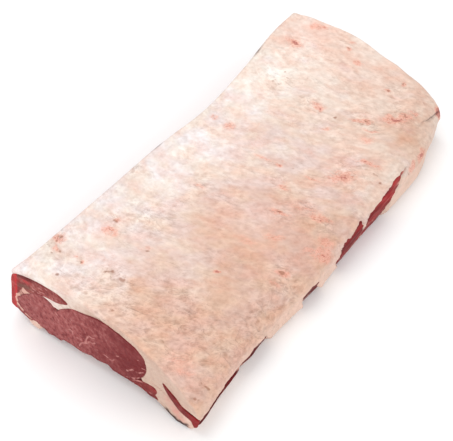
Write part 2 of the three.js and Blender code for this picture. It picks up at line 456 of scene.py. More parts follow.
FAN = (0.25, 0.003)  # the fat's grain runs along y = 0.25 x + 0.003 x^2, in millimetres
FAT_BACK = 0.5  # the cap's mean face lies this far inside the plain solid, leaving room for relief
FAT_ROUNDING = 1.6  # radius of the cap's edges at both cuts
OUTER_POINTS, INNER_POINTS = 236, 46  # round the cap's outside, and along its hidden lower face
WINDOW_STEP = 4.5  # how far the fat stands back where a lean window opens
BLOOD_SPOTS = [  # (x, y, size along x, size along y, strength) on the cap
    (-71, 178, 4, 3, 1.0), (-74, 176, 9, 7, 0.5), (-72, 210, 2, 3, 0.8), (-66, 214, 5, 4, 0.5),
    (-59, 218, 3, 2, 0.9), (-17, 203, 2, 2.5, 1.0), (-18, 214, 3, 2, 0.5), (3, 194, 4, 3, 0.7),
    (61, 208, 2, 3, 0.9), (49, 186, 2.5, 2, 0.8), (1, 109, 3, 3, 0.9), (-4, 112, 6, 4, 0.5),
    (50, 134, 3, 3, 1.0), (58, 128, 6, 2, 0.6), (40, 126, 6, 3, 0.5), (72, 162, 6, 4, 0.9),
    (79, 173, 4, 3, 0.9), (83, 185, 4, 4, 0.6), (66, 155, 7, 5, 0.5), (61, 115, 4, 6, 0.5),
    (22, 93, 3, 2, 0.6), (13, 21, 2, 2, 0.9), (-5, 17, 9, 2, 0.4), (78, 92, 7, 4, 0.8),
    (71, 62, 7, 7, 0.7), (66, 52, 5, 5, 0.5), (50, 31, 4, 3, 0.5), (36, 1, 5, 3, 0.6),
    (51, -24, 6, 3, 0.9), (80, 3, 6, 4, 0.9), (64, 0, 9, 4, 0.4), (101, -20, 3, 8, 0.9),
    (97, -8, 4, 6, 0.6), (92, -32, 3, 5, 0.5), (65, -48, 6, 6, 0.5), (51, -117, 1.6, 1.6, 2.2),
    (91, -68, 4, 3, 0.7), (93, -83, 3, 3, 0.5), (-64, 34, 6, 5, 0.6), (-88, 38, 4, 4, 0.5),
    (-60, -144, 6, 5, 0.75), (-63, -128, 2.5, 2.5, 0.8), (-96, -173, 5, 5, 1.0),
    (-86, -185, 4, 3, 0.6), (-64, -184, 2, 1.5, 0.9), (-52, -187, 1.6, 1.6, 1.2),
    (-28, -51, 5, 4, 0.4), (-14, -140, 3, 3, 0.4), (107, 221, 2.2, 4, 2.8), (107, 158, 2, 6, 1.3),
    (106, 137, 2, 4, 0.9), (76, -208, 10, 6, 0.35), (84, -213, 6, 4, 0.35), (50, -72, 8, 6, 0.3),
]
BROWN_PITS = [  # (x, y, size, depth)
    (100, -202, 2.4, 1.0), (99, -219, 2.5, 0.6), (-61, -210, 2.2, 0.4), (-28, -184, 3.0, 0.5),
    (-10, -183, 3.5, 1.0), (-12, -143, 1.8, 0.5), (50, 134, 1.8, 0.9), (79, 173, 1.8, 0.8),
    (-21, -61, 2, 0.6), (107, 130, 2.5, 0.6), (90, -68, 2.0, 0.5), (50, -24, 2.2, 0.6),
    (-70, 177, 1.8, 0.6), (-18, 203, 1.8, 0.7), (49, 186, 1.6, 0.6), (3, 108, 1.8, 0.7),
    (90, 88, 1.6, 0.6), (97, 87, 1.8, 0.7), (-53, -188, 1.5, 0.6), (-96, -170, 2.5, 0.7),
    (-52, 125, 2.2, 0.6), (-42, 117, 2.2, 0.6), (-36, 128, 2.0, 0.5), (-62, 133, 2.0, 0.5),
    (12, 21, 1.4, 0.5), (60, 209, 1.4, 0.5), (-57, 113, 1.9, 0.5), (-41, 105, 2.0, 0.5),
    (-26, -70, 1.5, 0.5), (-17, -75, 1.3, 0.4), (7, -214, 2.6, 0.6), (-33, -118, 1.5, 0.4),
    (-86, -191, 2.0, 0.8), (-80, -186, 1.9, 0.8), (-66, -184, 1.9, 0.8), (-74, -151, 1.6, 0.4),
    (-64, -130, 2.4, 0.6), (-22, -180, 2.2, 0.5), (-94, -178, 1.8, 0.4), (-65, 114, 2.0, 0.6),
    (-34, 138, 1.8, 0.5), (20, 112, 1.4, 0.4), (36, 123, 1.8, 0.6), (26, 26, 1.6, 0.3),
    (46, 126, 1.5, 0.5),
]
TAN_PATCHES = [  # (x, y, size, strength)
    (-89, -66, 9, 0.8), (6, -178, 8, 1.8), (7, -214, 9, 0.6), (-6, -220, 7, 0.5),
    (65, -192, 9, 1.1), (70, -94, 10, 1.0), (77, -174, 9, 0.7), (101, -106, 9, 0.7),
    (-20, 192, 30, 0.3), (98, 150, 25, 0.9), (20, -72, 30, 0.4), (40, -150, 22, -0.9),
    (45, -205, 16, -0.5), (40, 10, 14, -0.8), (-45, -110, 16, -0.4), (10, -115, 18, -0.3),
    (-45, -150, 16, 0.9), (-40, 200, 32, 0.5), (94, 158, 10, 0.8), (85, -20, 10, 0.6),
    (20, -30, 16, 0.4), (88, 145, 12, 0.5), (-28, -184, 7, 0.6), (85, 90, 16, 0.5),
]
ROSY_PATCHES = [  # (x, y, size, strength)
    (-78, 195, 34, 0.9), (-60, 212, 20, 0.5), (55, 88, 24, 0.5), (30, -55, 30, 0.5),
    (76, -210, 14, 0.7), (70, 60, 16, 0.5), (-66, 36, 12, 0.5), (-60, -140, 12, 0.6),
    (55, 20, 22, 0.3), (5, 105, 14, 0.5), (80, -60, 20, 0.3), (-98, -205, 10, 0.4),
    (-15, 190, 30, 0.5), (40, 195, 34, 0.5),
]
CRUMPLED = [  # (x, y, size along x, size along y, strength) where the fat is torn and creased
    (75, 170, 11, 17, 0.9), (50, 134, 14, 8, 0.9), (-65, 115, 12, 9, 0.25),
    (-42, 120, 18, 14, 0.25), (0, 108, 10, 9, 0.6), (22, 96, 12, 9, 0.3), (78, 89, 18, 8, 0.6),
    (70, 58, 12, 16, 0.7), (48, 33, 12, 10, 0.3), (12, 20, 10, 7, 0.3), (36, 0, 9, 7, 0.5),
    (76, 0, 22, 9, 0.7), (50, -24, 10, 9, 0.7), (-22, -57, 10, 15, 0.6), (12, -50, 22, 14, 0.4),
    (95, -70, 11, 13, 0.8), (-90, -62, 10, 8, 0.4), (-30, -112, 22, 18, 0.6),
    (-62, -128, 9, 8, 0.5), (-96, -172, 10, 13, 0.7), (-12, -182, 16, 9, 0.9),
    (-58, -192, 14, 9, 0.4), (15, -205, 34, 16, 0.6), (70, -190, 42, 36, 0.6),
    (95, -120, 16, 50, 0.6), (45, -160, 30, 18, 0.4), (-30, -208, 30, 10, 0.6),
    (-70, 178, 8, 7, 0.4), (-18, 203, 7, 7, 0.5), (50, 188, 8, 8, 0.4), (60, 208, 9, 7, 0.3),
]


def fan(x):
    """How far a line of the fat's grain has climbed towards the far end, x from the middle."""
    return FAN[0] * x + FAN[1] * x * x


def fat_cap():
    """The fat over the whole top, wrapped round the tail: its outline carried along the loin, out
    and in by noise drawn along its grain, and in by the pits, the crease and the trimmed edge. Its
    hidden lower face lies inside the lean; where a lean window opens, the fat steps back behind
    the lean in a sharp lip."""
    outer, inner = halves(FAT_CAP, CHINE_CORNER, FAT_LOWER_END, OUTER_POINTS, INNER_POINTS)

    def section(loop, y):
        """The tail's lower side bulges by 3.5 to 6 mm along the middle of the loin."""
        x, z = loop.T
        low_tail = smoothstep(z, 24, 6) * smoothstep(x, 78, 96)
        return x + (6 - 2.5 * bell(y, 30, 45)) * low_tail * side_share(y), z

    loft = Loft(outer, inner, 290, FAT_ROUNDING, section, short=0.5, ease=0.12)
    p = loft.points
    i = np.arange(len(loft.loop))
    shown = smoothstep(i, 0, 4) * (1 - smoothstep(i, OUTER_POINTS - 4, OUTER_POINTS))
    rough = crumple(p - SHIFT)
    grain = np.stack([p[..., 0], p[..., 1] - fan(p[..., 0]), p[..., 2]], -1)
    relief = 0.75 * noise(p, (55, 80, 55), 11, 2) - FAT_BACK
    relief = relief + (0.12 + 0.25 * rough) * noise(grain, (17, 13, 17), 12, 3)
    relief = relief + (0.06 + 0.3 * rough) * noise(grain, (6, 4.5, 6), 15, 2)
    fold = 1 - np.abs(noise(grain, (22, 8, 22), 21, 2))
    relief = relief + 0.6 * np.clip(fold - 0.72, 0, 1) * (0.3 + rough)
    relief = relief + 0.8 * round_off(loft.run, FAT_ROUNDING) * smoothstep(i, 196, 206)
    relief = relief - chine_dips(loft.y) * smoothstep(-loft.x, 92, 104)

    pits = spots(np.stack([loft.x, loft.y], -1), BROWN_PITS) * (loft.loop[:, 1] > 26)
    crease = far_crease((p - SHIFT)[..., 1:]) * (loft.x > 80)
    depth = window_depth(p)
    on_side = smoothstep(loft.loop[:, 0], 92, 99) * (i < OUTER_POINTS - 10)
    lip = bell(depth, -2.6, 1.8) * on_side
    back = smoothstep(depth, -0.9, 0.9) * on_side
    relief = relief * (1 - 0.6 * back) - pits - 1.2 * crease + 0.7 * lip - WINDOW_STEP * back
    loft.push(relief * shown)
    fall_back(loft)

    # Partners across the cut face: points of the outside, and of the hidden lower face.
    pairing = ([0, 12, 70, 118, 150, 185, 205, 222, 235], [0, 4, 15, 26, 32, 37, 40, 43, 45])
    points, tris = loft.mesh(24, pairing)
    return points, tris, fat_fields(points - SHIFT)


def chine_dips(y):
    """How far the chine edge is trimmed back at each station, in millimetres."""
    return 1.3 * (bell(y, 150, 32) + bell(y, 48, 28))


def far_crease(yz):
    """1 along the crease that runs from the far corner of the tail back up its side."""
    line = [(222, 36.5), (208, 40.8), (197, 44.9), (187, 48.1), (177, 50.4)]
    return bell(polyline_distance(yz, [line]), 0, 0.75)


def spots(at, rows):
    """The sum of strength * exp(-d^2) over rows that end in a strength: (x, y, size, strength), or
    with a size for each axis. d is the distance from (x, y) in sizes."""
    return sum(row[-1] * bump(at, row[:2], row[2:-1]) for row in rows)


def crumple(q):
    """0 where the fat is smooth, 1 where it is torn and creased."""
    at = q[..., :2] + 4 * drift(q, 14, 35, 36)
    return np.clip(0.12 + spots(at, CRUMPLED) + 0.12 * noise(q, 20, 37, 2), 0, 1)


def grain_marks(at, marks, along, across):
    """spots() with each mark (x, y, size a, size b, strength) laid along the fat's grain: its
    distance is counted in along * a, and in across * b from its own line of the grain."""
    lined = np.stack([at[..., 0], at[..., 1] - fan(at[..., 0])], -1)
    turned = [(x, y - fan(x), along * a, across * b, s) for x, y, a, b, s in marks]
    return spots(lined, turned)


def fat_fields(q):
    """What the fat's finish reads: blood, brown pits with painted shade along the far crease,
    creased stretches and patches of tan, rosy and cream; the cut faces, the pale tail side, the
    flushed band low on the near cut, and the dark hems: dark lean with a painted shadow along its
    lower edge and under the bared chine edge, and painted shade in the far crease."""
    x, y, z = q.T
    flat_x = x - plan_shift(x, length_share(y))
    wobble = 1.6 * drift(q, 9, 41, 43)
    at = np.stack([flat_x, y], -1) + wobble
    up_side = smoothstep(z, 22, 32)
    ragged = np.clip(0.8 + 0.7 * noise(q, 3.5, 47, 2), 0.2, 1.3)
    pits = [(*spot, size, size, 0.6 + 0.5 * depth) for *spot, size, depth in BROWN_PITS]
    brown = ragged * grain_marks(at, pits, 1.4, 0.8) * up_side
    to_tail = smoothstep(flat_x, -95, 85)
    clouded = spots(at, TAN_PATCHES) + noise(q, 45, 45, 2) * 0.4
    tan = 0.14 + 0.42 * to_tail + 0.5 * to_tail * smoothstep(y, 140, -170) + 0.25 * clouded
    crease = far_crease(q[:, 1:] + 0.35 * wobble) * (x > 80)

    on_near = y < 0
    section = near_section(q)
    inside = top_near(section[:, 0]) - section[:, 1] + 2.5 * noise(q, 9, 46, 2)
    cut = face_share(q, 223.2, 224)
    near_cut = cut * on_near
    cut = cut * np.where(on_near, smoothstep(inside, 0, 8) * smoothstep(x, -75, -15), 1)
    band = polyline_distance(section, [[(76, 21), (84, 13), (92, 6), (99, 3)]])
    flush = near_cut * bell(band, 0, 6) * (0.8 + 0.6 * noise(q, 4, 49, 2))
    # Dark lean and a painted shadow along the lower edge of the near cut, under the tail.
    hem = 1 - smoothstep(section[:, 1] + 1.8 * noise(q, (2.5, 9, 9), 48, 2), 4.8, 6.6)
    hem = near_cut * hem * smoothstep(x, 66, 74) * (1 - smoothstep(x, 94, 99))
    # Painted shade in the far crease.
    hem = np.maximum(hem, 0.9 * crease * smoothstep(y, 176, 206))
    # Dark lean and a painted shadow under the fat's edge, where the chine edge is bared.
    bared = bell(y, 149, 8) + bell(y, -25, 6)
    chine_rim = smoothstep(-flat_x, 101.5, 104) * smoothstep(z, 69, 72)
    hem = np.maximum(hem, chine_rim * np.clip(0.08 + 0.7 * bared, 0, 1))
    return {
        "blood": np.clip(grain_marks(at, BLOOD_SPOTS, 1.5, 1.05) * up_side, 0, 2),
        # The far crease's share of brown here is painted shade; the rest is the brown pits.
        "brown": np.clip(brown + 0.5 * crease, 0, 1), "creased": crumple(q),
        "tan": np.clip(tan, 0, 1), "rosy": np.clip(spots(at, ROSY_PATCHES), 0, 1),
        "cream": smoothstep(y, 40, 130), "cut": cut, "hem": hem,
        "side": (1 - smoothstep(z, 20, 34)) * smoothstep(x, 88, 96), "flush": np.clip(flush, 0, 1),
    }


# ---- Lean ----

EYE_VEINS = [  # fat veins on the near cut, as lines on the near section
    [(-29, 11), (-25.6, 19.6), (-18.5, 25.4), (-12, 31.5), (-7, 36)],
    [(-20.6, 25.6), (-17.5, 33), (-15.4, 39.5)], [(-13, 41), (-8, 44)], [(-24, 27), (-30, 25.5)],
    [(-42, 31.5), (-36, 34.7), (-32, 34)], [(-34, 33), (-34, 28)], [(2.1, 24.6), (6.7, 23.4)],
    [(9, 21), (14.2, 26.3)], [(17, 37), (19, 39.5)], [(5, 63), (6, 64)], [(41, 55), (44, 56.5)],
    [(27.2, 21.8), (31.6, 26), (36.1, 32)], [(39.5, 32), (43, 33.5), (47, 39.5)],
    [(51, 47.5), (46.8, 46.8)], [(-53, 53), (-51.6, 47.5)], [(27, 7), (37, 18.5), (44, 25)],
]
LOWER_VEINS = [[(30, 5), (38, 13), (45, 17)], [(53, 6.5), (60, 11.5)]]
STAR = [  # (x, z, size across, size up, strength) of the pale seam in the upper muscle
    (-91.5, 57, 2.6, 5, 0.75), (-91, 52, 6, 3.2, 0.6), (-84, 54.8, 7, 2.4, 0.55),
    (-97, 46, 4, 5, 0.55), (-100.5, 41, 3, 4, 0.55),
]
FLECKS = [  # short streaks of fat in the upper muscle
    [(-79, 67), (-76, 67)], [(-71, 75), (-67, 76)], [(-62, 81), (-60, 81)], [(-83, 54), (-80, 55)],
    [(-73, 65), (-69, 67)], [(-84, 62), (-79, 63)], [(-70, 70), (-64, 71)],
]
CRIMSON = [(-86, 72.5, 5, 2.6, 0.9), (-98, 66, 2, 6, 0.5)]  # these two are laid out as STAR is
MUDDY = [(-95, 60, 4, 3, 1), (-90, 62, 4, 3, 1), (-84, 64, 4, 3, 1)]
EYE_FRINGE = [(-105, 32), (-105, 25), (-101, 18), (-95, 14), (-89, 12)]  # pale film along these
UPPER_FRINGE = [(-102, 42), (-104, 36), (-105, 27), (-107, 19)]
UPPER_TOP = [(-103, 71), (-92, 77), (-76, 81.5), (-60, 83.5), (-47, 82.5), (-36, 77)]
CHINE_FACE_EDGE = [(20, -107.5), (34, -104.6), (52, -101.6), (68, -99.3), (78, -97)]  # z, x
RAGS = [  # (x, how far the lower edge of the near cut is torn up there)
    (-106, 1.5), (-96, 3), (-90, 3.5), (-84, 8.5), (-76, 6), (-72, 5.5), (-68, 0.5), (-61, 2.2),
    (-53, 0), (-49, 4.6), (-38, 3.6), (-26, 0.4), (-15, 3.2), (-8, 1), (5, 5.4), (10, 0.7),
    (18, 0.6), (30, 0.2), (45, 0),
]
LEAN_ROUNDING = 0.5  # radius of the lean's edges at both cuts
LEAN_SHORT = 0.2  # how far the smaller muscles' cut faces stand back from the eye's
CHINE_FALL = 0.4  # how far the near face falls back at its chine edge
BONE_STEP = 47  # the finger bones left a groove across the underside at every step of this
BONE_DEPTH = 5  # of such a groove
BULGE = 0.7  # how far the middle of the eye stands out of the near cut


def between(t, pairs):
    """Straight lines through the (t, value) pairs, level past both ends."""
    return np.interp(t, *np.array(pairs).T)


def chine_slope(p):
    """How far the near face falls back outside its chine edge, 0 on the face itself."""
    return smoothstep(between(p[..., 2], CHINE_FACE_EDGE) - (p[..., 0] - SHIFT[0]), -1.5, 6.5)


def fall_back(loft):
    """Moves the near cut's edge back where its face falls back, by exp(-run / 8) along the loin."""
    fade = np.exp(-loft.run / 8) * (loft.y < 0)
    loft.points[..., 1] += CHINE_FALL * chine_slope(loft.points) * fade


def lean_fields(q, veins=()):
    """What the finish of every lean piece reads: the distance to a fat vein, in millimetres, which
    wanders and breaks off, and which points lie on a cut face."""
    broken = np.clip(1.3 * noise(q, 6, 87, 2), 0, 1)
    vein = polyline_distance(near_section(q) + 0.8 * drift(q, 5, 85, 86), veins) + 0.6 * broken
    vein = np.where(q[:, 1] < NEAR + 4, vein, OUT_OF_REACH)
    return {"vein": np.clip(vein, 0, 9), "cut": face_share(q, 223.6, 224.2)}


def eye_muscle():
    """The eye of lean: its outline carried along the loin. Underneath it is grooved across at
    every step where a finger bone lay, and lumpy by noise; its lower edge at the near cut is torn
    up by RAGS, fading as exp(-run / 9) along the loin."""
    over, under = halves(EYE_MUSCLE, EYE_CHINE_END, EYE_TAIL_END, 175)
    loft = Loft(over, under, 150, LEAN_ROUNDING)
    below = smoothstep(np.arange(len(loft.loop)), len(over) + 1, len(over) + 9)
    p = loft.points
    bone = np.abs((loft.y + 14 + 3 * noise(p, 40, 51)) / BONE_STEP % 1 - 0.5) * 2
    groove = smoothstep(bone, 0.72, 0.95) * smoothstep(loft.x, 5, -35)
    groove = groove * smoothstep(loft.run, 25, 60)
    rag = between(loft.x, RAGS) * (loft.y < 0) * np.exp(-loft.run / 9)
    lumps = (0.7 + 0.7 * noise(p, (16, 22, 16), 53, 3)) * smoothstep(loft.run, 0, 8)
    loft.points[..., 2] += (rag + (BONE_DEPTH * groove + lumps)) * below

    def face(cap, end):
        """Both faces are uneven by noise; the near one bulges in the middle."""
        q = cap - SHIFT
        middle = 1 - smoothstep(polyline_distance(q[..., [0, 2]], [[(-70, 30), (25, 40)]]), 5, 40)
        grain = 0.12 * noise(q, 5, 55, 2) * smoothstep(middle, 0, 0.2)
        cap[..., 1] += (-BULGE * middle - grain) if end == 0 else (0.1 * middle + grain - 0.1)
        return cap

    points, tris = loft.mesh(64, face_shape=face)
    q = points - SHIFT
    x = q[:, 0]
    section = near_section(q)
    fields = lean_fields(q, EYE_VEINS)
    on_cut = fields["cut"] > 0.5
    on_near = on_cut & (q[:, 1] < 0)
    fringe = polyline_distance(section, [EYE_FRINGE]) + noise(q, 4, 58, 2)
    fields["film"] = np.where(
        on_cut, 0.8 * (1 - smoothstep(fringe, 0.3, 2.6)) * on_near,
        0.38 + 0.17 * noise(q, (28, 40, 28), 57, 3),
    )
    # Painted shadow in the recesses under the torn lower edge of the near face.
    hem = smoothstep(x, -80, -73) * (1 - 0.5 * smoothstep(x, -50, -42))
    hem = hem * (1 - smoothstep(section[:, 1] - between(x, RAGS), 0.5, 3.2))
    rim = (1 - smoothstep(polyline_distance(section, [over[::4]]), 0.2, 1.3)) * np.maximum(
        0.6 * smoothstep(x, -32, -22) * (1 - smoothstep(x, 20, 36)),
        0.6 * (1 - smoothstep(x, -84, -76)),
    )
    fields["dark"] = np.where(on_near, np.maximum(rim, hem), 0.1)
    fields["light"] = smoothstep(x + 10 * noise(q, 30, 59, 2), 46, -56)
    return points, tris, fields


def upper_muscle():
    """The flat muscle over the eye and down the chine side: its outline carried along the loin,
    and its chine side sunk by lumps of noise. The near face falls back at its chine edge."""
    over, under = halves(UPPER_MUSCLE, UPPER_HEEL, UPPER_TIP, 125)
    loft = Loft(over, under, 150, LEAN_ROUNDING, short=LEAN_SHORT)
    chine = 1 - smoothstep(loft.loop[:, 0], -108, -101)
    lumps = 0.9 + 0.8 * noise(loft.points, (14, 24, 10), 61, 3) + chine_dips(loft.y)
    loft.push(-(lumps * chine * smoothstep(loft.run, 4, 40)))
    fall_back(loft)

    def face(cap, end):
        """The near face lies flat, slopes at its chine edge and is uneven by noise."""
        q = cap - SHIFT
        if end == 0:
            cap[..., 1] = NEAR + LEAN_SHORT + SHIFT[1] + CHINE_FALL * chine_slope(cap)
            cap[1:-1, :, 1] -= 0.15 * noise(q[1:-1], 5, 63, 2)
        return cap

    points, tris = loft.mesh(20, face_shape=face)
    q = points - SHIFT
    x = q[:, 0]
    section = near_section(q)
    fields = lean_fields(q, FLECKS)
    on_near = q[:, 1] < NEAR + 5
    on_far = (fields["cut"] > 0.5) & ~on_near
    edge = between(q[:, 2], CHINE_FACE_EDGE) - x
    torn = noise(q, 4, 69, 2)
    star = spots(section + 0.7 * torn[:, None], STAR)
    fringe = polyline_distance(section, [UPPER_FRINGE]) + torn
    film = np.maximum(np.clip(star, 0, 1.2), 0.85 - 0.85 * smoothstep(fringe, 0.2, 1.8))
    streaks = (0.32 + 0.2 * noise(q, (12, 60, 9), 65, 3)) * ~on_far
    fields["film"] = np.where(on_near, film, streaks)
    raw = smoothstep(edge, -0.6, 0.6) * (1 - 0.5 * smoothstep(edge + 0.7 * torn, 1.2, 4))
    flush = (0.12 + 0.3 * smoothstep(noise(q, (9, 40, 12), 66, 3), -0.3, 0.4)) * ~on_far
    fields["raw"] = np.where(on_near, np.maximum(raw, spots(section, CRIMSON)), flush)
    top_rim = smoothstep(section[:, 1] - between(x, UPPER_TOP) + torn, -6, -0.5)
    top_rim = top_rim * (0.35 + 0.65 * smoothstep(x, -68, -86))
    fields["dark"] = np.where(on_near, np.maximum(top_rim, 0.12) * (edge < 0), 0.0)
    mud = spots(section + torn[:, None], MUDDY)
    fields["mud"] = np.where(on_near, np.clip(mud, 0, 1), 0.0)
    fields["light"] = np.where(on_near | on_far, 0.5 + 0.5 * noise(q, 9, 67, 2), 0.3)
    return points, tris, fields


def lower_strip():
    """The thin strip of lean under the tail end of the eye: its outline carried along the loin,
    and its underside raised by noise, so that its lower edge is ragged."""
    over, under = halves(LOWER_STRIP, LOWER_THIN_END, LOWER_BLUNT_END, 48)
    loft = Loft(over, under, 130, LEAN_ROUNDING, short=LEAN_SHORT)
    below = smoothstep(np.arange(len(loft.loop)), len(over) - 2, len(over) + 4)
    rag = (1.2 + 1.4 * noise(loft.points, (9, 16, 9), 71, 2)) * below
    loft.points[..., 2] += np.clip(rag, 0, 4)
    points, tris = loft.mesh(12)
    q = points - SHIFT
    fields = lean_fields(q, LOWER_VEINS)
    on_cut = fields["cut"] > 0.5
    bottom = 1 - smoothstep(near_section(q)[:, 1] + noise(q, 4, 74, 2), 0.5, 4)
    fields["film"] = np.where(on_cut, 0.0, 0.44 + 0.17 * noise(q, 25, 73, 2))
    fields["dark"] = np.where(on_cut, 0.15 + 0.7 * bottom, 0.2)
    fields["light"] = np.full(len(q), 0.25)
    fields["raw"] = 0.2 * bump(q[:, [0, 2]], (58, 26), (5, 4))
    return points, tris, fields


# The flank strip's outlines, as [x, z] points of the near section.
FLANK_AT_CUTS = [
    [68.8, 46.3], [72.6, 44.6], [76.8, 41.6], [82.4, 38], [86.2, 33.6], [91.6, 29.8], [97.6, 27.2],
    [103.4, 26.6], [108.2, 24.6], [107.8, 18.5], [106, 12.5], [102.8, 9.4], [101, 12.5],
    [99.2, 17], [93.5, 19], [87, 21.8], [81, 27.4], [75, 33.4], [71.2, 38.8],
]
FLANK_MIDWAY = [
    [71, 46], [75, 44.5], [80, 42], [85, 42.5], [88, 43], [92, 45], [95, 46], [101, 45],
    [106, 36], [109, 24.5], [108, 14], [104, 2], [97, 1], [93, 9], [89, 15], [85.5, 20],
    [79, 27], [76, 31], [74, 35],
]


def flank_strip():
    """The dark strip of lean in the tail: one outline at the cuts, blended by side_share() into
    another along the middle of the loin, where it reaches down to the board and lies just behind
    the fat's face, so that it shows where the fat steps back. Its outer side has strands of
    noise."""
    both = np.concatenate([smooth_outline(FLANK_AT_CUTS), smooth_outline(FLANK_MIDWAY)], 1)
    both = np.roll(both, -nearest_to(FLANK_THIN_END, both[:, :2]), 0)
    middle = nearest_to(FLANK_BLUNT_END, both[:, :2])
    over = both[np.round(np.linspace(0, middle, 76)).astype(int)]
    under = both[np.round(np.linspace(middle, len(both), 76)).astype(int) % len(both)]

    def section(loop, y):
        """The outline at the cuts, blended into the one midway."""
        share = side_share(y)
        return tuple(loop[:, k] * (1 - share) + loop[:, k + 2] * share for k in (0, 1))

    loft = Loft(over, under, 300, LEAN_ROUNDING, section, ease=0.12)
    p = loft.points
    outside = smoothstep(loft.x, 92, 99) * np.where(loft.y > 0, 1, smoothstep(loft.run, 0, 5))
    strands = noise(p, (6, 24, 4), 81, 3)
    hanging = 2.0 * bell(loft.y, -134, 16) * smoothstep(loft.z, 26, 18)
    covered = smoothstep(window_depth(p), -1, -4)
    loft.push((hanging - FAT_BACK - 1.4 - 0.6 * strands - 3.5 * covered) * outside)
    points, tris = loft.mesh(14)
    q = points - SHIFT
    fields = lean_fields(q)
    on_cut = fields["cut"] > 0.5
    at_tip = smoothstep(q[:, 0], 95, 104)
    patchy = noise(q, (8, 22, 5), 84, 2)
    # Darker towards the near end: dark lean, and near the cut a painted shadow under the fat's lip.
    shade = 0.1 + 0.45 * smoothstep(q[:, 1], 60, 0) + 0.4 * smoothstep(q[:, 1], -90, -110)
    flushed = (0.1 + 0.5 * np.clip(patchy, 0, 1)) * smoothstep(q[:, 1], -80, 40)
    fields["film"] = np.where(on_cut, 0.0, 0.12 + 0.25 * noise(q, (10, 30, 8), 83, 2))
    fields["dark"] = np.where(on_cut, 0.2 + 0.35 * at_tip, shade + 0.5 * np.clip(-patchy, 0, 1))
    fields["light"] = 0.2 + 0.4 * smoothstep(q[:, 1], 40, 120)
    fields["raw"] = np.where(on_cut, 0.45 * at_tip, flushed)
    return points, tris, fields


LUMP_PLACE, LUMP_HALF_SIZE = (-84.5, NEAR + 0.5, 7.4), (7.5, 3, 5)


def fat_lump():
    """A soft trimming that hangs from the near cut's chine corner: a sphere (cos a cos b, sin a
    cos b, sin b) scaled to its half sizes, with noise along its radius, flat where it meets the
    board."""
    a, b = np.meshgrid(np.linspace(0, 2 * math.pi, 49), np.linspace(-math.pi / 2, math.pi / 2, 25))
    ball = np.stack([np.cos(a) * np.cos(b), np.sin(a) * np.cos(b), np.sin(b)], -1)
    ball *= (1 + 0.28 * noise(ball, 0.9, 91, 3))[..., None]
    ball[:, -1] = ball[:, 0]
    ball[0], ball[-1] = ball[0, 0], ball[-1, 0]
    points = ball * np.array(LUMP_HALF_SIZE) + np.array(LUMP_PLACE) + SHIFT
    points[..., 2] = np.maximum(points[..., 2], 0.2)
    index = np.arange(a.size).reshape(a.shape)
    points, tris = weld(points.reshape(-1, 3), grid_quads(index))
    whole = np.ones(len(points))
    fields = {"tan": 0.5 * whole, "side": whole, "flush": 0.8 * whole}
    return points, tris, fields


# ---- Finishes ----


def tint(r, g, b):
    """A colour given as 0 to 255 on the display, in linear light."""
    c = np.array([r, g, b]) / 255
    linear = np.where(c <= 0.04045, c / 12.92, ((c + 0.055) / 1.055) ** 2.4)
    return (*linear, 1.0)


def wire(tree, value, socket):
    """Puts a number, a colour or a link from another socket on a socket."""
    if isinstance(value, bpy.types.NodeSocket):
        tree.links.new(value, socket)
    else:
        socket.default_value = value


def node(tree, kind, inputs=None, **settings):
    """A shader node of that kind with its settings, and values or links on its inputs."""
    made = tree.nodes.new("ShaderNode" + kind)
    for key, value in settings.items():
        setattr(made, key, value)
    for key, value in (inputs or {}).items():
        wire(tree, value, made.inputs[key])
    return made


def calc(tree, operation, a, b=0.0, clamp=False):
    """One sum on numbers, kept in 0 to 1 if clamp is set."""
    return node(tree, "Math", {0: a, 1: b}, operation=operation, use_clamp=clamp).outputs[0]


def times(tree, product, *values):
    """The product of all the values."""
    for value in values:
        product = calc(tree, "MULTIPLY", product, value)
    return product


def weighed(tree, start, *parts):
    """start plus each value times its weight."""
    for value, weight in parts:
        inputs = {0: value, 1: weight, 2: start}
        start = node(tree, "Math", inputs, operation="MULTIPLY_ADD").outputs[0]
    return start


def centred(tree, value):
    """value less a half."""
    return calc(tree, "SUBTRACT", value, 0.5)


def mix(tree, share, a, b):
    """a times 1 less share, plus b times share."""
    return node(tree, "Mix", {0: share, 6: a, 7: b}, data_type="RGBA").outputs[2]


def coated(tree, colour, *coats):
    """colour with each coat, given as its share and its own colour, laid over it in turn."""
    for share, paint in coats:
        colour = mix(tree, share, colour, paint)
    return colour


def shaded(tree, colour, share, low, high):
    """colour times low where share is 0, and times high where it is 1."""
    hue = mix(tree, share, (*low, 1), (*high, 1))
    return node(tree, "VectorMath", {0: colour, 1: hue}, operation="MULTIPLY").outputs[0]


def soft(tree, value, low, high, top=1.0):
    """0 at low, top at high, with smooth ends between them; low may be the larger."""
    if low > high:
        return calc(tree, "SUBTRACT", top, soft(tree, value, high, low, top))
    inputs = {0: value, 1: low, 2: high, 3: 0.0, 4: top}
    return node(tree, "MapRange", inputs, interpolation_type="SMOOTHSTEP").outputs[0]


def crest(tree, value, width):
    """1 along the lines where a noise passes its half, fading to 0 at width on both sides."""
    return soft(tree, calc(tree, "ABSOLUTE", centred(tree, value)), width, 0.0)


def field(tree, name):
    """The number that each point of the mesh has under that name, 0 where it has none."""
    return node(tree, "Attribute", attribute_name=name, attribute_type="GEOMETRY").outputs["Fac"]


def shader_group(name, numbers, outputs):
    """An empty node group with number inputs, given as name and value, and number outputs."""
    group = bpy.data.node_groups.new(name, "ShaderNodeTree")
    for label, value in numbers.items():
        socket = group.interface.new_socket(label, in_out="INPUT", socket_type="NodeSocketFloat")
        socket.default_value = value
    for label in outputs:
        group.interface.new_socket(label, in_out="OUTPUT", socket_type="NodeSocketFloat")
    start, end = group.nodes.new("NodeGroupInput"), group.nodes.new("NodeGroupOutput")
    return group, start.outputs, end.inputs


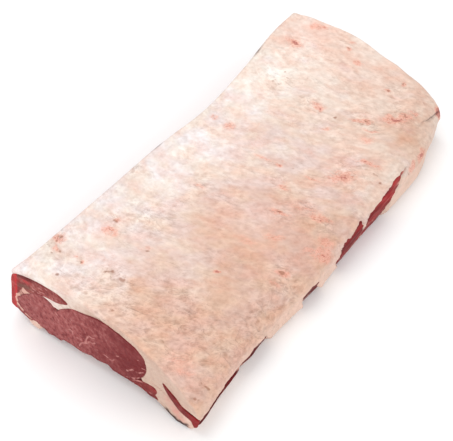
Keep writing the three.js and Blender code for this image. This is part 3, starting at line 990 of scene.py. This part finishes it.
def mottle_group():
    """Cloudy noise on the object's own coordinates: Size is the lumps' size in millimetres,
    Across and Along stretch them, Fan = 1 lays them along the curved lines of the fat's grain (y
    less FAN's two terms in x), and Shift picks another part of the noise."""
    numbers = {
        "Size": 10.0, "Across": 1.0, "Along": 1.0, "Fan": 0.0, "Detail": 3.0, "Warp": 0.0,
        "Shift": 0.0,
    }
    group, start, end = shader_group("mottle", numbers, ["Value"])
    place = node(group, "SeparateXYZ", {0: node(group, "TexCoord").outputs["Object"]}).outputs
    climb = times(group, place[0], FAN[1] / MM)
    climb = times(group, calc(group, "ADD", climb, FAN[0]), place[0])
    lined = calc(group, "SUBTRACT", place[1], times(group, climb, start["Fan"]))
    scale = calc(group, "DIVIDE", 1000.0, start["Size"])
    scaled = node(group, "CombineXYZ", {
        0: times(group, place[0], calc(group, "DIVIDE", scale, start["Across"])),
        1: times(group, lined, calc(group, "DIVIDE", scale, start["Along"])),
        2: times(group, place[2], scale),
    }).outputs[0]
    moved = node(group, "VectorMath", {0: scaled, 1: start["Shift"]}, operation="ADD").outputs[0]
    cloud = node(group, "TexNoise", {
        "Vector": moved, "Scale": 1.0, "Detail": start["Detail"], "Distortion": start["Warp"],
    })
    group.links.new(cloud.outputs[0], end["Value"])
    return group


def fibre_group():
    """Bundles of muscle fibre, cut across on the faces and running along the sides: thin walls
    between cells, Size millimetres apart, as Walls, and each bundle's own shade as Shade."""
    group, start, end = shader_group("fibre", {"Size": 3.0, "Along": 6.0}, ["Walls", "Shade"])
    place = node(group, "TexCoord").outputs["Object"]
    scale = calc(group, "DIVIDE", 1000.0, start["Size"])
    stretch = node(group, "CombineXYZ", {
        0: scale, 1: calc(group, "DIVIDE", scale, start["Along"]), 2: scale,
    }).outputs[0]
    scaled = node(group, "VectorMath", {0: place, 1: stretch}, operation="MULTIPLY").outputs[0]
    bend = node(group, "TexNoise", {"Vector": scaled, "Scale": 0.6, "Detail": 2.0}).outputs[1]
    bent = node(group, "VectorMath", {0: scaled, 1: bend}, operation="ADD").outputs[0]
    walls = node(group, "TexVoronoi", {"Vector": bent, "Scale": 1.0}, feature="DISTANCE_TO_EDGE")
    cells = node(group, "TexVoronoi", {"Vector": bent, "Scale": 1.0}, feature="F1")
    group.links.new(soft(group, walls.outputs["Distance"], 0.16, 0.0), end["Walls"])
    shade = node(group, "SeparateColor", {0: cells.outputs["Color"]}).outputs[0]
    group.links.new(shade, end["Shade"])
    return group


def placed(tree, group, **values):
    """The outputs of a node group placed in a material with these values."""
    made = tree.nodes.new("ShaderNodeGroup")
    made.node_tree = group
    for label, value in values.items():
        made.inputs[label].default_value = value
    return made.outputs


def new_material(name):
    """A material with its node tree and its shader."""
    material = bpy.data.materials.new(name)
    material.use_nodes = True
    shader = material.node_tree.nodes["Principled BSDF"]
    return material, material.node_tree, shader


def surface(tree, shader, colour, rough, relief, specular):
    """Wires a finish to its shader. relief is a bump's height, strength and depth in metres."""
    height, strength, depth = relief
    raised = node(tree, "Bump", {"Height": height, "Strength": strength, "Distance": depth})
    wire(tree, colour, shader.inputs["Base Color"])
    wire(tree, rough, shader.inputs["Roughness"])
    wire(tree, raised.outputs[0], shader.inputs["Normal"])
    shader.inputs["Specular IOR Level"].default_value = specular


def fat_finish(clouds):
    """Raw fat: pale and rosy towards the chine, tan towards the tail and creamy towards the far
    cut, in soft clouds. The shade and highlights of its lumps, grains and pleats are painted into
    its colour, evenly in hue and most of all where it is torn, with cream highlights painted on
    the grains' tops. Reddish threads, stains and brown flecks lie along its grain, and its dark
    hems are partly painted shadow and shade."""
    material, tree, shader = new_material("raw_fat")
    names = ("tan", "rosy", "creased", "blood", "brown", "cut", "side", "flush", "hem", "cream")
    tan, rosy, creased, blood, brown, cut, side, flush, hem, cream = (
        field(tree, label) for label in names
    )

    def cloud(size, across, detail, warp, shift):
        """The mottle group's value, laid along the fat's grain."""
        values = {"Size": size, "Across": across, "Detail": detail, "Warp": warp, "Shift": shift}
        return placed(tree, clouds, Fan=1.0, **values)["Value"]

    broad, patches = cloud(38.0, 1.3, 3.0, 0.0, 3.1), cloud(15.0, 1.4, 4.0, 0.3, 8.7)
    warm = cloud(24.0, 1.2, 3.0, 0.0, 21.4)
    blotch, fine = cloud(4.8, 1.4, 3.0, 0.0, 4.4), cloud(1.8, 1.2, 4.0, 0.0, 1.9)
    crumbs, grit = cloud(7.0, 1.2, 3.0, 0.0, 12.6), cloud(3.2, 1.1, 3.0, 0.0, 17.3)
    pleats = cloud(13.0, 1.8, 3.0, 1.0, 31.7)
    folds, lines = cloud(4.6, 1.4, 3.0, 1.5, 5.3), cloud(1.5, 5.0, 2.0, 0.3, 15.2)

    worn = weighed(tree, 0.2, (creased, 0.9))
    lumps = times(tree, centred(tree, crumbs), worn)
    grains = times(tree, centred(tree, grit), worn)
    swell = centred(tree, blotch)
    pleat = times(tree, crest(tree, pleats, 0.12), worn)
    # Painted shade and highlight of the relief: dark in the hollows between lumps, grains and
    # pleats, bright on their tops, most where the fat is torn.
    painted_relief_shade = weighed(tree, 0.42, (lumps, -2.5), (grains, -1.9), (swell, -1.1), (pleat, -0.25))
    warm = soft(tree, weighed(tree, warm, (cream, 0.15)), 0.35, 0.65)

    tanned = weighed(tree, -0.22, (tan, 1.0), (broad, 0.6))
    colour = mix(tree, tanned, tint(240, 229, 224), tint(211, 173, 154))
    colour = mix(tree, times(tree, rosy, 0.5), colour, tint(236, 194, 183))
    clouded = soft(tree, patches, 0.3, 0.7)
    colour = shaded(tree, colour, clouded, (1, 1.04, 1.07), (0.99, 0.91, 0.89))
    colour = shaded(tree, colour, warm, (0.97, 0.99, 1.02), (1.0, 1.01, 0.95))
    # The painted relief shade and highlight, laid over the colour evenly in hue.
    colour = shaded(tree, colour, painted_relief_shade, (1.12, 1.15, 1.17), (0.76, 0.7, 0.675))

    dashes = times(tree, soft(tree, lines, 0.64, 0.74), creased, 0.5)
    # Painted highlight: cream light on the tops of the grains, most where the fat is torn.
    grain_highlights = times(tree, soft(tree, grains, 0.12, 0.26), soft(tree, patches, 0.6, 0.4, 0.3))
    threads = times(tree, crest(tree, folds, 0.04), soft(tree, patches, 0.52, 0.66), 0.25)
    vessels = times(tree, crest(tree, folds, 0.05), soft(tree, blood, 0.1, 0.5), 0.6)
    torn = weighed(tree, -1.3, (blotch, 2.0), (fine, 2.4))
    solid = calc(tree, "MAXIMUM", weighed(tree, -3.0, (blood, 3.0)), 0.0)
    stain = calc(tree, "ADD", times(tree, blood, torn), solid, True)
    face = mix(tree, soft(tree, tan, 0.2, 0.6), tint(236, 218, 207), tint(206, 176, 158))
    face = mix(tree, soft(tree, blotch, 0.55, 0.35, 0.6), face, tint(198, 164, 148))
    flesh = mix(tree, soft(tree, patches, 0.4, 0.65), tint(222, 190, 172), tint(232, 200, 184))
    colour = coated(
        tree, colour,
        (dashes, tint(168, 124, 106)),
        (grain_highlights, tint(252, 238, 222)),
        (threads, tint(214, 146, 126)),
        (cut, face),
        (times(tree, flush, 0.7), tint(218, 140, 128)),
        (times(tree, side, 0.8), flesh),
        (soft(tree, stain, 0.02, 0.6, 0.7), tint(233, 170, 150)),
        (vessels, tint(184, 108, 86)),
        (soft(tree, stain, 0.8, 1.1, 0.8), tint(156, 62, 58)),
        # Brown flecks, and painted shade along the far crease.
        (soft(tree, brown, 0.25, 0.8, 0.7), tint(146, 92, 66)),
        # The hems: dark lean with painted shadow, and painted shade in the far crease.
        (hem, tint(62, 30, 27)),
    )
    rough = calc(tree, "ADD", soft(tree, patches, 0.3, 0.7, 0.16), 0.46)
    height = weighed(tree, 0.0, (lumps, 2.0), (grains, 1.0), (swell, 0.6), (pleat, 0.8))
    surface(tree, shader, colour, rough, (height, 0.7, 0.0014), 0.35)
    return material


def lean_finish(name, clouds, fibres, light, deep, marbling):
    """Moist raw lean: soft mottling from deep to light and fibre bundles, flecks and veins of fat,
    a pearly film on the outer sides, and a brighter red where the backbone was cut away."""
    material, tree, shader = new_material(name)
    names = ("vein", "film", "dark", "light", "raw", "mud")
    vein, film, dark, pale, raw, mud = (field(tree, label) for label in names)
    bundle = placed(tree, fibres)
    broad, grain, flecks = (
        placed(tree, clouds, **values)["Value"]
        for values in (
            {"Size": 13.0, "Along": 3.0, "Detail": 4.0, "Shift": 2.2},
            {"Size": 4.4, "Across": 0.75, "Along": 4.0, "Detail": 3.0, "Shift": 6.4},
            {"Size": 9.0, "Along": 4.0, "Detail": 3.0, "Warp": 1.4, "Shift": 9.5},
        )
    )
    tone = calc(tree, "ADD", pale, times(tree, centred(tree, broad), 1.5), True)
    paler = calc(tree, "ADD", pale, 0.2, True)
    marbled = times(tree, crest(tree, flecks, 0.025), soft(tree, broad, 0.5, 0.62), marbling, pale)
    edge = weighed(tree, 0.0, (vein, 1.0), (grain, 1.6))
    skin = calc(tree, "ADD", film, times(tree, centred(tree, flecks), 0.9))
    colour = coated(
        tree, mix(tree, tone, deep, light),
        (times(tree, soft(tree, grain, 0.5, 0.72, 0.5), paler), tint(190, 126, 122)),
        (soft(tree, grain, 0.52, 0.28, 0.75), tint(112, 40, 44)),
        (soft(tree, bundle["Shade"], 0.2, 1.0, 0.12), tint(120, 52, 54)),
        (marbled, tint(205, 146, 138)),
        (times(tree, raw, 0.85), tint(200, 44, 50)),
        (times(tree, mud, 0.6), tint(116, 88, 74)),
        (times(tree, dark, 0.7), tint(84, 26, 28)),
        (soft(tree, edge, 2.2, 1.0, 0.7), tint(208, 144, 138)),
        (soft(tree, skin, 0.42, 0.62, 0.85), tint(224, 176, 160)),
    )
    rough = calc(tree, "ADD", times(tree, grain, 0.24), 0.3)
    walls = times(tree, bundle["Walls"], -0.25)
    height = calc(tree, "ADD", times(tree, grain, 0.8), walls)
    surface(tree, shader, colour, rough, (height, 0.4, 0.0008), 0.03)
    return material


# ---- The loin ----

CLOUDS, FIBRES = mottle_group(), fibre_group()
RAW_FAT = fat_finish(CLOUDS)
EYE_LEAN = lean_finish("eye_lean", CLOUDS, FIBRES, tint(160, 86, 85), tint(114, 40, 42), 0.5)
UPPER_LEAN = lean_finish("upper_lean", CLOUDS, FIBRES, tint(158, 82, 77), tint(132, 52, 51), 0.9)
TAIL_LEAN = lean_finish("tail_lean", CLOUDS, FIBRES, tint(150, 64, 60), tint(122, 42, 42), 0.4)

PIECES = [  # the plain solid that each piece stands for, its shape, finish and slot
    ("fat_cap", fat_cap, RAW_FAT, "fat"),
    ("eye_muscle", eye_muscle, EYE_LEAN, "lean_eye"),
    ("upper_muscle", upper_muscle, UPPER_LEAN, "lean_upper"),
    ("lower_strip", lower_strip, TAIL_LEAN, "lean_tail"),
    ("flank_strip", flank_strip, TAIL_LEAN, "lean_tail"),
]
for solid, shape, finish, slot in PIECES:
    make_piece(f"{solid}_visual", *shape(), finish, slot, solid)
make_piece("fat_lump", *fat_lump(), RAW_FAT, "fat")


# ---- Floor, light and camera ----


def floor():
    """A wide pale plane just under the meat."""
    half, gap = 6.0, 0.3 * MM
    mesh = bpy.data.meshes.new("floor")
    corners = [(-half, -half, 0), (half, -half, 0), (half, half, 0), (-half, half, 0)]
    mesh.from_pydata(corners, [], [range(4)])
    plane = bpy.data.objects.new("floor", mesh)
    plane.location.z = -gap
    bpy.context.scene.collection.objects.link(plane)
    material, _, shader = new_material("floor")
    shader.inputs["Base Color"].default_value = tint(250, 250, 250)
    shader.inputs["Roughness"].default_value = 0.9
    shader.inputs["Specular IOR Level"].default_value = 0.1
    mesh.materials.append(material)


def area_light(name, place, size, power):
    """A square soft light that points at the middle of the loin."""
    data = bpy.data.lights.new(name, "AREA")
    data.size, data.energy = size, power
    lamp = bpy.data.objects.new(name, data)
    lamp.location = place
    lamp.rotation_euler = (Vector((0, 0, 0.04)) - Vector(place)).to_track_quat("-Z", "Y").to_euler()
    bpy.context.scene.collection.objects.link(lamp)


def world(strength):
    """Even white light from all round."""
    sky = bpy.data.worlds.new("studio")
    sky.use_nodes = True
    background = sky.node_tree.nodes["Background"]
    background.inputs["Color"].default_value = (1, 1, 1, 1)
    background.inputs["Strength"].default_value = strength
    bpy.context.scene.world = sky


def camera(azimuth, elevation, distance, target, lens):
    """Looks at target from that far off, turned azimuth from -Y towards +X and raised."""
    a, e = math.radians(azimuth), math.radians(elevation)
    back = Vector((math.sin(a) * math.cos(e), -math.cos(a) * math.cos(e), math.sin(e)))
    data = bpy.data.cameras.new("camera")
    data.sensor_width, data.lens = 36, lens
    eye = bpy.data.objects.new("camera", data)
    eye.location = Vector(target) + back * distance
    eye.rotation_euler = back.to_track_quat("Z", "Y").to_euler()
    bpy.context.scene.collection.objects.link(eye)
    bpy.context.scene.camera = eye


floor()
world(0.8)
area_light("key", (-0.7, 0.1, 1.8), 1.6, 14)
area_light("fill", (1.2, -1.3, 1.1), 1.8, 15)
camera(36, 50, 1.14, (-0.0002, -0.033, 0.035), 91.7)
bpy.context.scene.view_settings.view_transform = "Standard"
